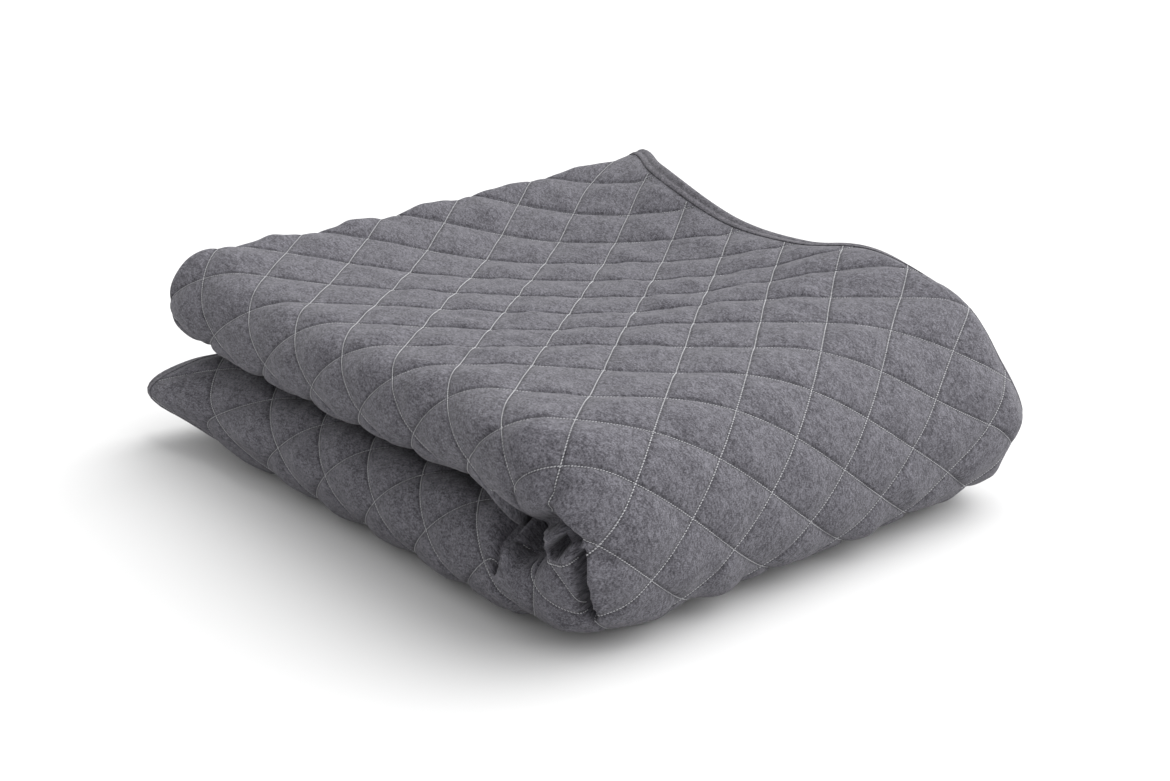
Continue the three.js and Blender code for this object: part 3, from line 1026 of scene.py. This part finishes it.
def jersey_material(folds, finish):
    """The quilted jersey: heather fibres, a groove along each stitched line whose colour is
    darkened there by painted shade, and small puckers that run in to it."""
    shader = Shader("heather_jersey")
    factor, fibre = heather(shader)
    quilt = folds.quilt
    place = shader.node("ShaderNodeUVMap", {"uv_map": "cloth"}, {})
    length = shader.node("ShaderNodeSeparateXYZ", {}, {"Vector": place}, output=0)
    width = shader.node("ShaderNodeSeparateXYZ", {}, {"Vector": place}, output=1)
    start = quilt.end_phase + 2 * quilt.half_length / quilt.long
    along = start - length * (2 / (quilt.long * MM))
    across = quilt.hem_phase - width * (2 / (quilt.wide * MM))
    steep = (along + across) * 0.5
    shallow = (along - across) * 0.5
    from_steep = steep.fraction_from_whole() * quilt.spacing
    from_shallow = shallow.fraction_from_whole() * quilt.spacing
    groove = from_steep.math("MINIMUM", from_steep, from_shallow)
    # How near a stitched line, 1 on it and 0 at the groove's reach: it sinks the bump and also
    # paints shade into the colour.
    depth = groove.fading(GROOVE_REACH)
    wobble = shader.noise(shader.place(), 60, 2.0) * 9.0
    along_steep = (shallow * PUCKER_WAVES + wobble).sine() * from_steep.fading(PUCKER_REACH)
    along_shallow = (steep * PUCKER_WAVES + wobble).sine() * from_shallow.fading(PUCKER_REACH)
    puckers = (along_steep + along_shallow) * shader.noise(shader.place(), 90, 1.0)
    crumple = shader.noise(shader.place((1.0, 0.6, 1)), 70, 3.0, 0.55)
    height = fibre * 0.55 + puckers * 0.30 + crumple * 1.3 - depth * 0.9
    colour = shader.mix(factor, solid_colour(finish.shade), solid_colour(finish.light))
    # Painted shade: the colour is darkened towards a far darker fibre along each stitched line's
    # groove, where shade falls in it.
    colour = shader.mix(depth * 0.35, colour, solid_colour([0.35 * c for c in finish.shade]))
    normal = shader.bump(height, MM)
    return shader.finish(
        Base_Color=colour, Roughness=0.95, Sheen_Weight=0.05, Sheen_Roughness=0.6, Normal=normal
    )


def binding_material(finish):
    """The binding's jersey: the same fibres, a little browner and darker."""
    shader = Shader("binding_jersey")
    factor, fibre = heather(shader)
    colour = shader.mix(factor, solid_colour(finish.shade), solid_colour(finish.light))
    colour = shader.mix(1.0, colour, solid_colour(finish.binding), "MULTIPLY")
    pulls = shader.noise(shader.place(), 220, 2.0)
    normal = shader.bump(fibre * 0.5 + pulls * 0.5, MM)
    return shader.finish(
        Base_Color=colour, Roughness=0.95, Sheen_Weight=0.05, Sheen_Roughness=0.6, Normal=normal
    )


def thread_material(finish):
    """The quilting thread: pale, a little silky, with a fine twist."""
    shader = Shader("quilting_thread")
    where = shader.node("ShaderNodeTexCoord", {}, {}, output="Object")
    tone = shader.noise(where, 900, 2.0)
    pale = solid_colour(finish.thread)
    dull = solid_colour([0.62 * c for c in finish.thread])
    colour = shader.mix(tone, dull, pale)
    normal = shader.bump(shader.noise(where, 2600, 1.0), 0.2 * MM)
    return shader.finish(Base_Color=colour, Roughness=0.55, Normal=normal)


def plain_material(name, colour, roughness):
    """A plain matt surface, for the studio."""
    shader = Shader(name)
    return shader.finish(Base_Color=solid_colour(colour), Roughness=roughness)


def finished(piece, material, node=None):
    """Gives a piece its material in a new slot and its body, and hides the CAD node that it stands
    for.
    """
    piece.data.materials.append(material)
    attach(piece, "root")
    if node:
        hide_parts(node)


class BEDSPREAD_OT_cloth(bpy.types.Operator):
    """Make the folded quilted cloth"""

    bl_idname = "bedspread.cloth"
    bl_label = "Quilted cloth"

    def execute(self, context):
        folds = Folds(context.scene)
        piece = quilted_cloth(folds)
        material = jersey_material(folds, context.scene.bedspread_finish)
        finished(piece, material, "quilted_cloth")
        return {"FINISHED"}


class BEDSPREAD_OT_binding(bpy.types.Operator):
    """Make the binding round the cloth's edge"""

    bl_idname = "bedspread.binding"
    bl_label = "Edge binding"

    def execute(self, context):
        folds = Folds(context.scene)
        piece = edge_binding(folds)
        material = binding_material(context.scene.bedspread_finish)
        finished(piece, material, "edge_binding")
        return {"FINISHED"}


class BEDSPREAD_OT_thread(bpy.types.Operator):
    """Make the quilting stitches along both families of lines"""

    bl_idname = "bedspread.thread"
    bl_label = "Quilting thread"

    def execute(self, context):
        folds = Folds(context.scene)
        material = thread_material(context.scene.bedspread_finish)
        for family, (slant, share) in STITCH_FAMILIES.items():
            rows = lattice_rows(folds, family)
            wide = folds.stitch_width * share
            size = (0.9 * folds.stitch_pitch, wide, 0.75 * wide)
            finished(stitches(f"{family}_stitches", rows, size, slant, seed=5), material)
        return {"FINISHED"}


class BEDSPREAD_OT_sheet(bpy.types.Operator):
    bl_idname = "bedspread.sheet"
    bl_label = "Declare the sheet"

    def execute(self, context):
        folds = Folds(context.scene)
        flat = (folds.flat_width * MM, folds.flat_length * MM)
        return {"FINISHED"}


class BEDSPREAD_OT_studio(bpy.types.Operator):
    """Make the floor, the lights and the camera"""

    bl_idname = "bedspread.studio"
    bl_label = "Studio"

    def execute(self, context):
        scene = context.scene
        add_floor(scene.bedspread_finish)
        add_light(scene)
        add_camera(scene, Folds(scene))
        scene.view_settings.view_transform = "Standard"
        return {"FINISHED"}


def add_floor(finish):
    """A wide flat floor just under the pile."""
    corners = np.array([[-1, -1], [1, -1], [1, 1], [-1, 1]]) * FLOOR_REACH
    points = np.column_stack([corners, np.full(4, FLOOR_HEIGHT)])
    floor = add_mesh("studio_floor", points, np.array([[0, 1, 2], [0, 2, 3]]))
    floor.data.materials.append(plain_material("floor_paper", finish.floor, 0.9))


def add_light(scene):
    """One soft distant light in an even white world."""
    data = bpy.data.lights.new("key", "SUN")
    data.energy = LIGHT["strength"]
    data.angle = np.radians(LIGHT["across"])
    light = bpy.data.objects.new("key", data)
    light.rotation_euler = (0, np.radians(90 - LIGHT["height"]), np.radians(LIGHT["bearing"]))
    scene.collection.objects.link(light)
    world = bpy.data.worlds.new("studio")
    world.use_nodes = True
    background = world.node_tree.nodes["Background"].inputs
    background["Color"].default_value = (1, 1, 1, 1)
    background["Strength"].default_value = WORLD_STRENGTH
    scene.world = world


def add_camera(scene, folds):
    """The camera looks along yaw and pitch at a point near the pile's middle."""
    sizes = scene.bedspread_view
    right = Vector((np.cos(sizes.yaw), np.sin(sizes.yaw), 0))
    level = Vector((-np.sin(sizes.yaw), np.cos(sizes.yaw), 0))
    ahead = level * np.cos(sizes.pitch) - Vector((0, 0, 1)) * np.sin(sizes.pitch)
    up = right.cross(ahead)
    target = right * sizes.aside + level * sizes.beyond + Vector((0, 0, sizes.above))
    place = target - ahead * sizes.distance + Vector(folds.shift) * MM
    data = bpy.data.cameras.new("camera")
    data.lens = sizes.lens / MM
    data.sensor_width = 36
    data.shift_x, data.shift_y = VIEW_SHIFT
    camera = bpy.data.objects.new("camera", data)
    turn = Matrix((right, up, -ahead)).transposed().to_4x4()
    camera.matrix_world = Matrix.Translation(place) @ turn
    scene.collection.objects.link(camera)
    scene.camera = camera


class BEDSPREAD_PT_panel(bpy.types.Panel):
    """The bedspread's sizes and its makers"""

    bl_idname = "BEDSPREAD_PT_panel"
    bl_label = "Bedspread"
    bl_space_type = "VIEW_3D"
    bl_region_type = "UI"
    bl_category = "Bedspread"

    def draw(self, context):
        for group in GROUPS:
            box = self.layout.box()
            sizes = getattr(context.scene, group)
            for name in sizes.bl_rna.properties.keys():
                if name not in ("rna_type", "name"):
                    box.prop(sizes, name)
        for operator in OPERATORS:
            self.layout.operator(operator.bl_idname)


GROUPS = {
    "bedspread_folds": FoldSizes,
    "bedspread_quilt": QuiltSizes,
    "bedspread_finish": Finish,
    "bedspread_view": ViewSizes,
}
OPERATORS = (
    BEDSPREAD_OT_studio,
    BEDSPREAD_OT_cloth,
    BEDSPREAD_OT_binding,
    BEDSPREAD_OT_thread,
    BEDSPREAD_OT_sheet,
)


def register():
    """Registers the classes and puts the sizes on the scene."""
    for cls in (*GROUPS.values(), *OPERATORS, BEDSPREAD_PT_panel):
        bpy.utils.register_class(cls)
    for name, cls in GROUPS.items():
        setattr(bpy.types.Scene, name, bpy.props.PointerProperty(type=cls))


def unregister():
    """Takes the sizes and the classes off again."""
    for name in GROUPS:
        delattr(bpy.types.Scene, name)
    for cls in (BEDSPREAD_PT_panel, *OPERATORS, *GROUPS.values()):
        bpy.utils.unregister_class(cls)


def main():
    """Registers the add-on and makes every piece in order."""
    register()
    bpy.ops.bedspread.studio()
    bpy.ops.bedspread.cloth()
    bpy.ops.bedspread.binding()
    bpy.ops.bedspread.thread()
    bpy.ops.bedspread.sheet()


if __name__ == "__main__":
    main()
